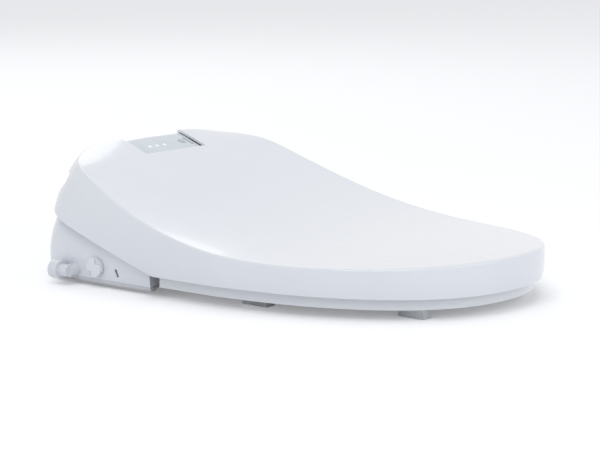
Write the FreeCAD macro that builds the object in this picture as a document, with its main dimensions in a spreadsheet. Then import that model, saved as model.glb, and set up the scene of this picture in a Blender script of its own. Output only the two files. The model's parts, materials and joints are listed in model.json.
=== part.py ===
import FreeCAD, Part
import math
import os
import re
from types import SimpleNamespace
import Sketcher

# Electric bidet seat: a rear unit with seat and lid, clipped onto a plate bolted to a toilet rim.
#
# Millimetres.  The origin is midway between the two rim bolt holes, on the rim's top face.
# +Z is up, -Y points to the front of the bowl and -X is the sitter's right hand side.

Vector = FreeCAD.Vector
Rotation = FreeCAD.Rotation
Placement = FreeCAD.Placement

# Every driving size.  Lengths are in millimetres and angles in degrees.
SIZES = {
    # Lid
    "lid_half_width": 196.0, "lid_reach": 474.0, "lid_rear": 62.0, "lid_middle": 161.0,
    "lid_wall": 3.0, "lid_crown": 4.0, "lid_fillet": 3.0, "lid_corner": 58.0, "lid_corner_top": 88.0,
    "front_height": 55.0, "rear_height": 147.0, "rise_start": 330.0, "rise_end": 72.0,
    "tip_lift": 2.0, "rear_droop": 80.0, "droop_start": 6.0,
    "crease_level": 57.0, "low_tuck": 7.0, "shoulder_level": 100.0, "shoulder_lean": 13.0,
    "top_level": 155.0, "top_lean": 53.0, "lid_edge": 24.6, "edge_slope": 0.33,
    "edge_knee": 30.0, "edge_turn": 126.0, "rear_mouth_drop": 26.0, "rear_mouth_half": 169.0,
    "notch_front": 16.0, "notch_gap": 2.5,
    # Hinges
    "lid_axis_y": 52.0, "lid_axis_z": 97.0, "lid_shaft_radius": 5.0, "lid_arm_inner": 57.0,
    "lid_arm_width": 12.0, "lid_boss_radius": 9.0, "arm_depth": 14.0, "well_gap": 3.0,
    "seat_axis_y": -45.0, "seat_axis_z": 48.0, "seat_pin_radius": 5.0, "bush_radius": 8.0,
    "seat_boss_radius": 13.0, "bay_inner": 102.0, "bay_outer": 156.0, "arm_side_gap": 4.0,
    "bay_floor": 24.0, "bay_back": 17.0, "running_fit": 0.05,
    # Rear unit
    "unit_bottom": 3.0, "case_height": 6.0, "case_floor": 3.0, "case_chamfer": 4.0,
    "seam": 0.3, "cover_wall": 2.6, "flank_gap": 7.0, "roof_gap": 5.0, "unit_rear_gap": 5.0, "unit_tuck": 3.0, "unit_corner": 36.0, "unit_corner_middle": 56.0, "unit_corner_top": 74.0,
    "unit_lean": 3.0,
    "wing_front": 119.0, "wing_slant": 21.0, "block_front": 90.0, "display_half": 48.5,
    "display_drop": 3.6, "lens_thickness": 1.6, "lens_margin": 2.0, "post_radius": 4.5,
    # Mounting plate
    "plate_half": 91.0, "plate_front": 25.0, "plate_rear": 45.0, "pad_thickness": 1.5,
    "web_height": 7.0, "flange_height": 2.6, "flange_overhang": 4.0, "slide_gap": 0.4,
    "bolt_spacing": 140.0, "bolt_hole": 4.5, "pad_half_x": 9.0,
    # Seat
    "seat_tuck": 10.5, "seat_lower": 11.8, "seat_height": 34.2, "seat_wall": 4.5,
    "seat_rear": 129.0, "opening_half": 103.0, "opening_rear": 166.0, "opening_front": 402.0,
    "seat_dish": 5.0, "seat_round": 12.0, "opening_round": 9.0, "seat_ceiling": 37.0,
    "heater_thickness": 0.8, "bumper_gap": 0.4, "seat_base_thickness": 3.0,
    # Nozzle
    "nozzle_angle": 35.0, "nozzle_radius": 7.5, "nozzle_length": 118.0, "nozzle_exit_y": -86.0,
    "nozzle_exit_z": 14.0, "nozzle_fit": 0.1, "guide_wall": 4.0, "rack_height": 4.0,
    "rack_width": 5.0, "pinion_radius": 7.0, "tooth_depth": 1.6, "pinion_hole": 1.5,
    # Side fittings
    "knob_radius": 11.0, "knob_y": -35.0, "knob_z": 24.0, "knob_out": 8.0, "knob_gap": 3.0,
    "inlet_y": -1.0, "inlet_z": 17.5, "inlet_radius": 7.0, "thread_radius": 10.45, "inlet_gap": 3.5, "nut_clearance": 0.05,
    "release_y": -4.0, "release_z": 19.0, "release_travel": 5.0, "release_out": 4.0,
    "filter_front": -94.0, "filter_rear": -48.0, "filter_low": 12.0, "filter_high": 34.5,
    "filter_depth": 24.0, "fascia_thickness": 2.0, "gland_y": 34.0, "gland_z": 17.0,
    # Dryer
    "dryer_x": 62.0, "fan_y": -34.0, "fan_radius": 20.0, "fan_low": 31.0, "fan_height": 15.0,
    "duct_half": 17.0, "duct_low": 11.5, "duct_high": 25.0, "duct_wall": 2.0, "flap_gap": 0.5,
    # Display button
    "button_x": 33.0, "button_radius": 4.5, "button_travel": 1.0, "button_gap": 0.3,
    # Small fasteners
    "screw_radius": 2.0, "screw_head": 3.8, "screw_head_height": 2.2, "screw_length": 9.0,
    "channel_level": 14.0,
}

doc = FreeCAD.newDocument("bidet_seat")
sheet = doc.addObject("Spreadsheet::Sheet", "Sizes")
for row, (name, number) in enumerate(SIZES.items(), start=1):
    sheet.set("A%d" % row, name)
    sheet.set("B%d" % row, str(number))
    sheet.setAlias("B%d" % row, name)
doc.recompute()
size = SimpleNamespace(**{name: float(sheet.get(name)) for name in SIZES})

subparts = []


def sized(text):
    """Point each size's name in an expression at its cell in the sheet."""
    words = r"[a-z][a-z_]+"
    return re.sub(words, lambda word: "Sizes." + word[0] if word[0] in SIZES else word[0], str(text))


def bind(item, name, text):
    item.setExpression(name, sized(text))


def export(item, label):
    """Name a finished sub-part and put it on the list that is written out."""
    item.Label = label
    subparts.append(item)
    return item


# ---------------------------------------------------------------- primitives bound to the sheet
AXES = {
    "X": Rotation(Vector(0, 1, 0), 90),
    "Y": Rotation(Vector(1, 0, 0), -90),
    "Z": Rotation(),
}


def block(name, x, y, z):
    """Box between two expressions along each axis."""
    box = doc.addObject("Part::Box", name)
    for side, axis, (low, high) in (("Length", "x", x), ("Width", "y", y), ("Height", "z", z)):
        bind(box, side, "(%s) - (%s)" % (high, low))
        bind(box, "Placement.Base." + axis, low)
    return box


def rod(name, axis, radius, centre, span):
    """Cylinder along one axis: centre gives the other two coordinates in order."""
    cylinder = doc.addObject("Part::Cylinder", name)
    cylinder.Placement = Placement(Vector(), AXES[axis])
    bind(cylinder, "Radius", radius)
    bind(cylinder, "Height", "(%s) - (%s)" % (span[1], span[0]))
    places = list(centre)
    places.insert("XYZ".index(axis), span[0])
    for letter, place in zip("xyz", places):
        bind(cylinder, "Placement.Base." + letter, place)
    return cylinder


def fused(name, *items):
    fuse = doc.addObject("Part::MultiFuse", name)
    fuse.Shapes = list(items)
    return fuse


def less(name, base, *tools):
    """Base with one or more tools cut away."""
    cut = doc.addObject("Part::Cut", name)
    cut.Base = base
    cut.Tool = tools[0] if len(tools) == 1 else fused(name + "_tools", *tools)
    return cut


def group(name, items):
    """Identical separate solids kept as one sub-part."""
    compound = doc.addObject("Part::Compound", name)
    compound.Links = list(items)
    return compound


def freeform(name, shape):
    feature = doc.addObject("Part::Feature", name)
    feature.Shape = shape
    return feature


# ---------------------------------------------------------------- sketched bodies
def origin_plane(body, role):
    return next(item for item in body.Origin.OriginFeatures if item.Role == role)


def sketch_on(body, name, role):
    sketch = body.newObject("Sketcher::SketchObject", name)
    sketch.AttachmentSupport = (origin_plane(body, role), [""])
    sketch.MapMode = "FlatFace"
    return sketch


def sketch_circle(sketch, x, y, radius):
    """Circle held by its radius and by its centre's distances from the sketch origin."""
    number = sketch.addGeometry(Part.Circle(Vector(1, 1, 0), Vector(0, 0, 1), 2), False)
    for kind, text in (("DistanceX", x), ("DistanceY", y)):
        place = sketch.addConstraint(Sketcher.Constraint(kind, -1, 1, number, 3, 1.0))
        bind(sketch, "Constraints[%d]" % place, text)
    place = sketch.addConstraint(Sketcher.Constraint("Radius", number, 2.0))
    bind(sketch, "Constraints[%d]" % place, radius)


def sketch_polygon(sketch, corners):
    """Closed straight-sided loop; each corner is held by two distances from the origin."""
    rough = [Vector(value(x), value(y), 0) for x, y in corners]
    first = sketch.GeometryCount
    count = len(corners)
    for index in range(count):
        sketch.addGeometry(Part.LineSegment(rough[index], rough[(index + 1) % count]), False)
    for index in range(count):
        edge = first + index
        following = first + (index + 1) % count
        sketch.addConstraint(Sketcher.Constraint("Coincident", edge, 2, following, 1))
    for index, (x, y) in enumerate(corners):
        edge = first + index
        for kind, text, rough_place in (("DistanceX", x, rough[index].x),
                                        ("DistanceY", y, rough[index].y)):
            place = sketch.addConstraint(Sketcher.Constraint(kind, -1, 1, edge, 1, rough_place))
            bind(sketch, "Constraints[%d]" % place, text)


def value(text):
    """Number that an expression gives with the present sizes."""
    holder = value.holder
    bind(holder, "reading", text)
    holder.recompute()
    return float(holder.reading)


value.holder = doc.addObject("App::FeaturePython", "calculator")
value.holder.addProperty("App::PropertyFloat", "reading")


def pad(body, sketch, length, name, symmetric=False, backwards=False):
    feature = body.newObject("PartDesign::Pad", name)
    feature.Profile = sketch
    bind(feature, "Length", length)
    feature.Midplane = symmetric
    feature.Reversed = backwards
    return feature


def pocket(body, sketch, length, name, backwards=False, through=False):
    feature = body.newObject("PartDesign::Pocket", name)
    feature.Profile = sketch
    if through:
        feature.Type = 1
        feature.Midplane = True
    else:
        bind(feature, "Length", length)
    feature.Reversed = backwards
    return feature


# ---------------------------------------------------------------- shared outer surfaces
def roof_line(y):
    """Height of the lid's top along its middle: low at the front, rising to the back."""
    start = -size.rise_start
    if y < start:
        return size.front_height + size.tip_lift * ((start - y) / (size.lid_reach + start)) ** 2
    part = min((y - start) / (size.rise_end - start), 1.0)
    rise = 1 - (1 - part ** 2.55) ** 1.45
    return size.front_height + (size.rear_height - size.front_height) * rise


def roof_height(x, y):
    """Top surface: a slight crown across, and rear corners that fall away."""
    across = abs(x) / size.lid_half_width
    back = min(max((y - size.droop_start) / (size.lid_rear - size.droop_start), 0.0), 1.0)
    crown = size.lid_crown * (1 - across ** 2)
    return roof_line(y) + crown - size.rear_droop * across ** 4 * back ** 4


def under_roof(drop):
    """Solid filling everything below the top surface lowered by drop."""
    half = size.lid_half_width + 12
    columns = 14
    rows = 28
    grid = []
    for row in range(rows + 1):
        y = -size.lid_reach - 20 + row * (size.lid_reach + size.lid_rear + 40) / rows
        line = []
        for column in range(columns + 1):
            x = -half + column * 2 * half / columns
            line.append(Vector(x, y, roof_height(x, y) - drop))
        grid.append(line)
    surface = Part.BSplineSurface()
    surface.interpolate(grid)
    return surface.toShape().extrude(Vector(0, 0, -3 * size.rear_height))


def outline(half, reach, rear, corner, level):
    """Seat-shaped closed wire: superellipse front, straight flanks, rounded rear corners."""
    middle = -size.lid_middle
    power = 2 / 2.29
    steps = 16
    front = []
    for step in range(steps + 1):
        turn = math.pi * step / steps
        side = math.copysign(abs(math.cos(turn)) ** power, math.cos(turn))
        front.append(Vector(half * side, middle - (reach + middle) * math.sin(turn) ** power, level))
    front[-1] = Vector(-half, middle, level)
    curve = Part.BSplineCurve()
    curve.interpolate(Points=front, InitialTangent=Vector(0, -1, 0), FinalTangent=Vector(0, 1, 0))
    bend = corner * (1 - math.sqrt(0.5))
    inner = half - corner
    start = rear - corner
    corners = [
        Part.LineSegment(Vector(-half, middle, level), Vector(-half, start, level)),
        Part.Arc(Vector(-half, start, level), Vector(-half + bend, rear - bend, level),
                 Vector(-inner, rear, level)),
        Part.LineSegment(Vector(-inner, rear, level), Vector(inner, rear, level)),
        Part.Arc(Vector(inner, rear, level), Vector(half - bend, rear - bend, level),
                 Vector(half, start, level)),
        Part.LineSegment(Vector(half, start, level), Vector(half, middle, level)),
    ]
    return Part.Wire([curve.toShape()] + [piece.toShape() for piece in corners])


def side_walls(inset, tuck, rear, bottom, lean, corner, middle_corner, top_corner):
    """Tall solid with curved flanks: widest at the crease, leaning in towards the top."""
    levels = (
        (bottom, tuck, corner),
        (size.crease_level, 0.0, corner),
        (size.shoulder_level, size.shoulder_lean + lean, middle_corner),
        (size.top_level, size.top_lean + lean, top_corner),
    )
    wires = []
    for level, narrower, bend in levels:
        tip = size.lid_reach - inset - min(narrower, tuck)
        half = size.lid_half_width - inset - narrower
        wires.append(outline(half, tip, rear, bend, level))
    return Part.makeLoft(wires, True, False)


def lid_envelope(inset):
    """Lid volume shrunk by inset, running on down past the lid's lower edge."""
    walls = side_walls(inset, size.low_tuck, size.lid_rear - inset, 5.0, 0.0,
                       size.lid_corner - inset, size.lid_corner - inset,
                       size.lid_corner_top - inset)
    return walls.common(under_roof(inset))


def profile_prism(points, low, high):
    """YZ polygon drawn out along X."""
    corners = [Vector(low, y, z) for y, z in points]
    return Part.Face(Part.makePolygon(corners + corners[:1])).extrude(Vector(high - low, 0, 0))


def plan_prism(points, low, high):
    """XY polygon drawn out along Z."""
    corners = [Vector(x, y, low) for x, y in points]
    return Part.Face(Part.makePolygon(corners + corners[:1])).extrude(Vector(0, 0, high - low))


def box_between(x, y, z):
    return Part.makeBox(x[1] - x[0], y[1] - y[0], z[1] - z[0], Vector(x[0], y[0], z[0]))


def both_sides(shape):
    """The shape and its mirror image across the middle plane."""
    return [shape, shape.mirror(Vector(), Vector(1, 0, 0))]


def unit_volume(inset):
    """Rear unit's outer volume shrunk by inset: centre block, two hinge bays and two wings."""
    flank = size.lid_wall + size.flank_gap + inset
    rear = size.lid_rear - size.unit_rear_gap - inset
    walls = side_walls(flank, size.unit_tuck, rear, size.unit_bottom - 2, size.unit_lean,
                       size.unit_corner - inset, size.unit_corner_middle - inset,
                       size.unit_corner_top - inset)
    volume = walls.common(under_roof(size.lid_wall + size.roof_gap + inset))
    slant = math.tan(math.radians(size.wing_slant))
    edge = size.lid_half_width
    wing_tip = -size.wing_front + inset
    wing_root = wing_tip + (edge - size.bay_outer - inset) * slant
    root = size.bay_outer + inset
    block_front = -size.block_front + inset
    ahead = -size.lid_reach - 50
    front = [(-edge - 50, ahead), (-edge - 50, wing_tip), (-edge, wing_tip), (-root, wing_root),
             (-root, block_front), (root, block_front), (root, wing_root), (edge, wing_tip),
             (edge + 50, wing_tip), (edge + 50, ahead)]
    volume = volume.cut(plan_prism(front, -20, 2 * size.rear_height))
    back = size.seat_axis_y + size.bay_back + inset
    bay = [(ahead, size.bay_floor - inset), (back, size.bay_floor - inset),
           (back, size.seat_axis_z + inset), (back + 14, 2 * size.seat_axis_z + 60),
           (ahead, 2 * size.seat_axis_z + 60)]
    bay_solid = profile_prism(bay, size.bay_inner - inset, size.bay_outer + inset)
    return volume.cut(both_sides(bay_solid))


# ---------------------------------------------------------------- lid
def make_lid():
    outer = lid_envelope(0.0)
    roof = max(outer.Faces, key=lambda face: face.Area)
    outer = outer.makeFillet(size.lid_fillet, roof.Edges)
    shell = outer.cut(lid_envelope(size.lid_wall))
    far = size.lid_reach + 60
    knee = -size.edge_turn
    rise = size.lid_edge + size.edge_slope * (size.lid_rear + 60 - knee)
    below = profile_prism([(-far, -60), (-far, size.lid_edge), (knee, size.lid_edge),
                           (size.lid_rear + 60, rise), (size.lid_rear + 60, -60)], -far, far)
    bend = [edge for edge in below.Edges
            if abs(edge.CenterOfMass.y - knee) < 1 and abs(edge.CenterOfMass.z - size.lid_edge) < 1]
    shell = shell.cut(below.makeFillet(size.edge_knee, bend))
    mouth_top = size.rear_height - size.rear_mouth_drop
    mouth = box_between((-size.rear_mouth_half, size.rear_mouth_half),
                        (size.lid_axis_y - 20, size.lid_rear + 40), (-10, mouth_top))
    notch_half = size.display_half + size.notch_gap
    notch = box_between((-notch_half, notch_half), (size.notch_front, size.lid_rear + 40),
                        (0, 2 * size.rear_height))
    shell = shell.cut([mouth, notch])
    inner = lid_envelope(size.lid_wall)
    arm_low = size.lid_arm_inner
    arm_high = arm_low + size.lid_arm_width
    axis = Vector(arm_low, size.lid_axis_y, size.lid_axis_z)
    boss = Part.makeCylinder(size.lid_boss_radius, size.lid_arm_width, axis, Vector(1, 0, 0))
    half = size.arm_depth / 2
    web = box_between((arm_low, arm_high), (size.lid_axis_y - half, size.lid_axis_y + half),
                      (size.lid_axis_z, size.rear_height))
    bore = Part.makeCylinder(size.lid_shaft_radius + size.running_fit, size.lid_arm_width + 2,
                             axis - Vector(1, 0, 0), Vector(1, 0, 0))
    arm = boss.fuse(web).common(inner.fuse(outer)).cut(bore)
    return shell.fuse(both_sides(arm)).removeSplitter()


lid_shell = export(freeform("lid_shell", make_lid()), "lid_shell")


def make_lid_bumpers():
    """Four soft studs under the lid that meet the seat's top."""
    inner = lid_envelope(size.lid_wall)
    studs = []
    for across, back in ((0.72, 0.50), (0.55, 0.82)):
        low = size.seat_lower + size.seat_height + size.bumper_gap
        place = Vector(across * size.lid_half_width, -back * size.lid_reach, low)
        stud = Part.makeCylinder(6, size.rear_height, place).common(inner)
        studs += both_sides(stud)
    return Part.makeCompound(studs)


export(freeform("lid_bumpers", make_lid_bumpers()), "lid_bumpers")

lid_shaft_reach = "lid_arm_inner + lid_arm_width + 4"
lid_shaft = rod("lid_shaft_bar", "X", "lid_shaft_radius", ("lid_axis_y", "lid_axis_z"),
                ("-(%s)" % lid_shaft_reach, lid_shaft_reach))
export(lid_shaft, "lid_hinge_shaft")

# ---------------------------------------------------------------- seat
seat_top_level = size.seat_lower + size.seat_height


def seat_outline(inset, level):
    half = size.lid_half_width - size.seat_tuck - inset
    reach = size.lid_reach - size.seat_tuck - inset
    return outline(half, reach, size.lid_rear, size.lid_corner, level)


def opening_outline(grow, level):
    """Egg-shaped opening: blunt at the back, longer at the front."""
    back = -size.opening_rear + grow
    front = -size.opening_front - grow
    half = size.opening_half + grow
    middle = back + 0.42 * (front - back)
    poles = []
    steps = 24
    for step in range(steps):
        turn = 2 * math.pi * step / steps
        reach = (back - middle) if math.sin(turn) > 0 else (middle - front)
        across = math.copysign(abs(math.cos(turn)) ** 0.9, math.cos(turn))
        along = math.copysign(abs(math.sin(turn)) ** 0.9, math.sin(turn))
        poles.append(Vector(half * across, middle + reach * along, level))
    curve = Part.BSplineCurve()
    curve.interpolate(Points=poles, PeriodicFlag=True)
    return Part.Wire([curve.toShape()])


def prism(wire, height):
    return Part.Face(wire).extrude(Vector(0, 0, height))


def behind_seat(gap):
    """Everything behind the seat's rear edge: a straight line set gap ahead of it."""
    return box_between((-400, 400), (-size.seat_rear - gap, 400), (-50, 400))


def seat_ring(inset, low, high):
    """Ring between the seat's outline and its opening, cut off square at the back."""
    ring = prism(seat_outline(inset, low), high - low).cut(behind_seat(inset))
    return ring.cut(prism(opening_outline(inset, low), high - low))


def dished_top():
    """Solid below the seat's upper surface, which sinks a little towards the opening."""
    half = size.lid_half_width + 30
    centre = -(size.opening_rear + size.opening_front) / 2
    rows = 18
    grid = []
    for row in range(rows + 1):
        y = -size.lid_reach - 30 + row * (size.lid_reach + 30) / rows
        line = []
        for column in range(rows + 1):
            x = -half + column * 2 * half / rows
            away = math.hypot(x / (size.lid_half_width), (y - centre) / (0.42 * size.lid_reach))
            sink = size.seat_dish * min(max((1.05 - away) / 0.5, 0.0), 1.0) ** 2
            line.append(Vector(x, y, seat_top_level - sink))
        grid.append(line)
    surface = Part.BSplineSurface()
    surface.interpolate(grid)
    return surface.toShape().extrude(Vector(0, 0, -80))


def seat_post_places():
    """Screw posts spaced round the ring, midway between its outline and its opening."""
    places = []
    for turn in (-68, -30, 8, 48, 82):
        angle = math.radians(turn)
        middle = -(size.opening_rear + size.opening_front) / 2
        outer = size.lid_half_width - size.seat_tuck
        across = (outer + size.opening_half) / 2 * math.cos(angle)
        length = (size.lid_reach - size.seat_tuck + middle + size.opening_front + middle) / 2
        y = middle - length * math.sin(angle)
        places += [(across, y), (-across, y)]
    return [(x, y) for x, y in places if y < -size.seat_rear - 12]


def arm_box(grow, low, high):
    """Plan rectangle of one hinge arm, from the ring back to the hinge axis."""
    inner = size.bay_inner + size.arm_side_gap + grow
    outer = size.bay_outer - size.arm_side_gap - grow
    return box_between((inner, outer), (-size.seat_rear - 30, size.seat_axis_y), (low, high))


def make_seat_top():
    low = size.seat_lower
    ring = seat_ring(0.0, low, seat_top_level + 20).common(dished_top())
    rim = [edge for edge in ring.Edges
           if edge.BoundBox.ZMin > size.seat_ceiling - 2 and edge.BoundBox.ZMax < 400]
    outer = [edge for edge in rim if edge.BoundBox.YLength > size.lid_reach / 2
             and edge.BoundBox.XLength > 1.5 * size.opening_half * 1.5]
    ring = ring.makeFillet(size.seat_round, outer)
    holes = [edge for edge in ring.Edges if edge.BoundBox.ZMin > size.seat_ceiling - 8
             and abs(edge.BoundBox.XLength - 2 * size.opening_half) < 3]
    ring = ring.makeFillet(size.opening_round, holes)
    cavity = seat_ring(size.seat_wall, low - 1, size.seat_ceiling)
    posts = [Part.makeCylinder(size.post_radius, seat_top_level, Vector(x, y, low
             + size.seat_base_thickness)) for x, y in seat_post_places()]
    pilot = [Part.makeCylinder(size.screw_radius, size.screw_length + 1, Vector(x, y, low))
             for x, y in seat_post_places()]
    ring = ring.cut(cavity.cut(posts)).cut(pilot)
    arm_top = seat_top_level - 1
    arm_low = size.seat_axis_z - size.seat_boss_radius
    axis = Vector(size.bay_inner + size.arm_side_gap, size.seat_axis_y, size.seat_axis_z)
    width = size.bay_outer - size.bay_inner - 2 * size.arm_side_gap
    boss = Part.makeCylinder(size.seat_boss_radius, width, axis, Vector(1, 0, 0))
    arm = arm_box(0.0, arm_low, arm_top).cut(arm_box(size.seat_wall, arm_low - 1,
                                                     arm_top - size.seat_wall))
    arm = arm.cut(box_between((0, 400), (-size.seat_rear - 60, -size.seat_rear - size.seat_wall),
                              (0, 100)))
    bore = Part.makeCylinder(size.bush_radius, width + 2, axis - Vector(1, 0, 0), Vector(1, 0, 0))
    arm = arm.fuse(boss).cut(bore)
    return ring.fuse(both_sides(arm)).removeSplitter()


export(freeform("seat_top", make_seat_top()), "seat_top")


def make_seat_base():
    low = size.seat_lower
    plate = seat_ring(size.seat_wall + size.seam, low, low + size.seat_base_thickness)
    for x, y in seat_post_places():
        plate = plate.cut(Part.makeCylinder(size.screw_radius, 20, Vector(x, y, low - 1)))
        plate = plate.cut(Part.makeCylinder(size.screw_head + size.seam, 1 + size.screw_head_height,
                                            Vector(x, y, low - 1)))
    return plate


export(freeform("seat_base", make_seat_base()), "seat_base")


def make_seat_heater():
    """Heating foil bonded under the ceiling of the hollow seat."""
    low = size.seat_ceiling - size.heater_thickness
    foil = seat_ring(size.seat_wall + 4, low, size.seat_ceiling)
    for x, y in seat_post_places():
        foil = foil.cut(Part.makeCylinder(size.post_radius + 1, 40, Vector(x, y, 0)))
    return foil


export(freeform("seat_heater", make_seat_heater()), "seat_heater")


def screw(name, x, y, base, length):
    """Pan-head screw standing up from its head's lower face."""
    head = rod(name + "_head", "Z", "screw_head", (x, y), (base, "%s + screw_head_height" % base))
    shank = rod(name + "_shank", "Z", "screw_radius", (x, y),
                ("%s + screw_head_height" % base, "%s + %s" % (base, length)))
    return fused(name, head, shank)


seat_screws = [screw("seat_screw_%d" % index, repr(round(x, 4)), repr(round(y, 4)), "seat_lower",
                     "screw_length") for index, (x, y) in enumerate(seat_post_places())]
export(group("seat_screw_set", seat_screws), "seat_screws")

bumper_x = "(lid_half_width - seat_tuck + opening_half) / 2"
bumpers = []
for side, across, along in ((1, 1.0, 0.50), (-1, 1.0, 0.50), (1, 0.62, 0.86), (-1, 0.62, 0.86)):
    middle = "%d * %.2f * %s" % (side, across, bumper_x)
    front = "-%.2f * lid_reach" % along
    bumpers.append(block("seat_bumper_%d" % len(bumpers), (middle + " - 7", middle + " + 7"),
                         (front + " - 17", front + " + 17"), ("0", "seat_lower")))
export(group("seat_bumper_set", bumpers), "seat_bumpers")

bushes = []
for side in (-1, 1):
    inner = "bay_inner + arm_side_gap"
    outer = "bay_outer - arm_side_gap"
    span = (inner, outer) if side > 0 else ("-(%s)" % outer, "-(%s)" % inner)
    centre = ("seat_axis_y", "seat_axis_z")
    sleeve = rod("bush_body_%d" % (side + 1), "X", "bush_radius", centre, span)
    bore = rod("bush_bore_%d" % (side + 1), "X", "seat_pin_radius + running_fit", centre, span)
    bushes.append(less("bush_%d" % (side + 1), sleeve, bore))
export(group("seat_bush_set", bushes), "seat_hinge_bushes")

# ---------------------------------------------------------------- mounting plate
plate_low = "pad_thickness"
web_top = "pad_thickness + web_height"
plate_top = "pad_thickness + web_height + flange_height"
web_half = "plate_half - flange_overhang"


def make_mounting_plate():
    """T-section rail that the rear unit slides onto, with the two rim bolt holes."""
    body = doc.addObject("PartDesign::Body", "mounting_plate_body")
    section = sketch_on(body, "rail_section", "XZ_Plane")
    sketch_polygon(section, [
        ("-(%s)" % web_half, plate_low), (web_half, plate_low), (web_half, web_top),
        ("plate_half", web_top), ("plate_half", plate_top), ("-plate_half", plate_top),
        ("-plate_half", web_top), ("-(%s)" % web_half, web_top)])
    rail = pad(body, section, "plate_front + plate_rear", "rail")
    bind(section, "AttachmentOffset.Base.z", "-plate_rear")
    doc.recompute()
    holes = sketch_on(body, "bolt_holes", "XY_Plane")
    sketch_circle(holes, "bolt_spacing / 2", "0", "bolt_hole")
    sketch_circle(holes, "-bolt_spacing / 2", "0", "bolt_hole")
    pocket(body, holes, "50", "bolt_passages", through=True)
    doc.recompute()
    return body


export(make_mounting_plate(), "mounting_plate")

pads = []
for side in (-1, 1):
    middle = "%d * bolt_spacing / 2" % side
    for front, back in (("-plate_front + 2", "-bolt_hole - 3"), ("bolt_hole + 3", "plate_rear - 2")):
        pads.append(block("plate_pad_%d" % len(pads), (middle + " - pad_half_x", middle
                    + " + pad_half_x"), (front, back), ("0", plate_low)))
export(group("plate_pad_set", pads), "plate_pads")

# ---------------------------------------------------------------- rear unit: case and cover
case_top = size.unit_bottom + size.case_height
channel_half = size.plate_half + size.slide_gap
channel_top = size.pad_thickness + size.web_height + size.flange_height + size.slide_gap
channel_front = -size.plate_front - 3
nozzle_turn = math.radians(size.nozzle_angle)
nozzle_way = Vector(0, -math.cos(nozzle_turn), -math.sin(nozzle_turn))
nozzle_exit = Vector(0, size.nozzle_exit_y, size.nozzle_exit_z)
guide_radius = size.nozzle_radius + size.guide_wall
cap_radius = size.nozzle_radius + 3.2
UNIT = unit_volume(0.0)
INSIDE = unit_volume(size.cover_wall)
SKIN = 2.5


def post_places():
    """Screw posts that tie the case to the cover, on both sides of the middle."""
    flank = size.lid_half_width - size.lid_wall - size.flank_gap
    return [(side * across, along) for across, along in
            ((flank - 16, 22.0), (flank - 15, -size.wing_front + 18),
             (size.plate_half + 5.5, -size.block_front + 12)) for side in (-1, 1)]


def make_lower_case():
    tray = UNIT.common(box_between((-400, 400), (-400, 400), (size.unit_bottom, case_top)))
    low = [edge for edge in tray.Edges if edge.BoundBox.ZMax < size.unit_bottom + 0.01
           and max(edge.BoundBox.XLength, edge.BoundBox.YLength) > 8]
    tray = tray.makeChamfer(size.case_chamfer, low)
    tray = tray.cut(INSIDE.common(box_between((-400, 400), (-400, 400),
                                              (size.unit_bottom + size.case_floor, 400))))
    hood = box_between((-channel_half - SKIN, channel_half + SKIN),
                       (channel_front - SKIN, size.lid_rear - size.unit_rear_gap),
                       (size.unit_bottom, channel_top + SKIN))
    tray = tray.fuse(hood.common(UNIT))
    tray = tray.cut(box_between((-channel_half, channel_half), (channel_front, 200),
                                (-5, channel_top)))
    rib_top = size.pad_thickness + size.web_height - size.slide_gap
    web_edge = size.plate_half - size.flange_overhang + size.slide_gap
    rib = box_between((web_edge, channel_half + 0.5),
                      (channel_front, size.lid_rear - size.unit_rear_gap - 1),
                      (size.unit_bottom, rib_top))
    tray = tray.fuse(both_sides(rib))
    head_room = size.screw_head + size.seam
    for x, y in post_places():
        base = Vector(x, y, size.unit_bottom)
        post = Part.makeCylinder(size.post_radius + 1.5, case_top - size.unit_bottom, base)
        tray = tray.fuse(post.common(UNIT))
        tray = tray.cut(Part.makeCylinder(size.screw_radius + 0.2, 30, base))
        tray = tray.cut(Part.makeCylinder(head_room, size.screw_head_height, base))
    tray = tray.cut(Part.makeCylinder(cap_radius + 1, 80, nozzle_exit - nozzle_way * 12, nozzle_way))
    return tray.removeSplitter()


export(freeform("lower_case", make_lower_case()), "lower_case")

flank = size.lid_half_width - size.lid_wall - size.flank_gap
tray_gap = size.seam
well_inner = size.lid_arm_inner - size.well_gap
well_outer = size.lid_arm_inner + size.lid_arm_width + size.well_gap + 2
well_front = size.lid_axis_y - size.lid_boss_radius - size.well_gap
well_low = size.lid_axis_z - size.lid_boss_radius - size.well_gap
display_front = size.notch_front + size.notch_gap
display_rear = size.lid_rear - size.unit_rear_gap
outlet_inner = size.dryer_x - size.duct_half - size.duct_wall - size.flap_gap
outlet_outer = size.dryer_x + size.duct_half + size.duct_wall + size.flap_gap


def display_volume(inset):
    """Raised block under the display, filling the notch in the lid."""
    walls = box_between((-size.display_half + inset, size.display_half - inset),
                        (display_front + inset, display_rear - inset), (60, 300))
    return walls.common(under_roof(size.display_drop + inset))


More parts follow.
